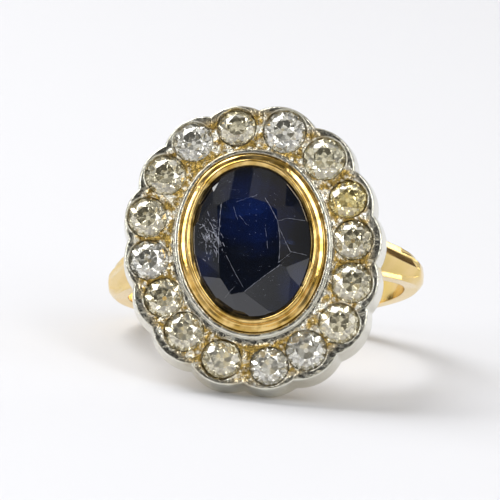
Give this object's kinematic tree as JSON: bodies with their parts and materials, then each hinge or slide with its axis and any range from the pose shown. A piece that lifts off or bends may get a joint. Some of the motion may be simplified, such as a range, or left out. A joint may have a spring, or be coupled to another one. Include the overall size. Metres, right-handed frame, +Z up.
{
  "type": "ring",
  "caption": "Cluster ring: an oval dark blue stone in a gold collet, ringed by round clear stones in a scalloped silver frame, on a gold shank with knife-edge shoulders.",
  "frame": {"origin": "centre of the finger hole", "axes": "+Z up as the ring lies on the edge of its head and the back of its hoop; -Y is the side its head is on; +X across the shank"},
  "size_m": [0.0196, 0.0234, 0.017],
  "materials": {
    "yellow_gold": "polished",
    "silver": "polished",
    "sapphire": "polished",
    "diamond": "polished"
  },
  "bodies": {
    "root": {"shank": "yellow_gold", "cluster_frame": "silver", "collet": "yellow_gold", "sapphire": "sapphire", "diamond_01": "diamond", "diamond_02": "diamond", "diamond_03": "diamond", "diamond_04": "diamond", "diamond_05": "diamond", "diamond_06": "diamond", "diamond_07": "diamond", "diamond_08": "diamond", "diamond_09": "diamond", "diamond_10": "diamond", "diamond_11": "diamond", "diamond_12": "diamond", "diamond_13": "diamond", "diamond_14": "diamond", "diamond_15": "diamond", "diamond_16": "diamond"}
  },
  "joints": []
}
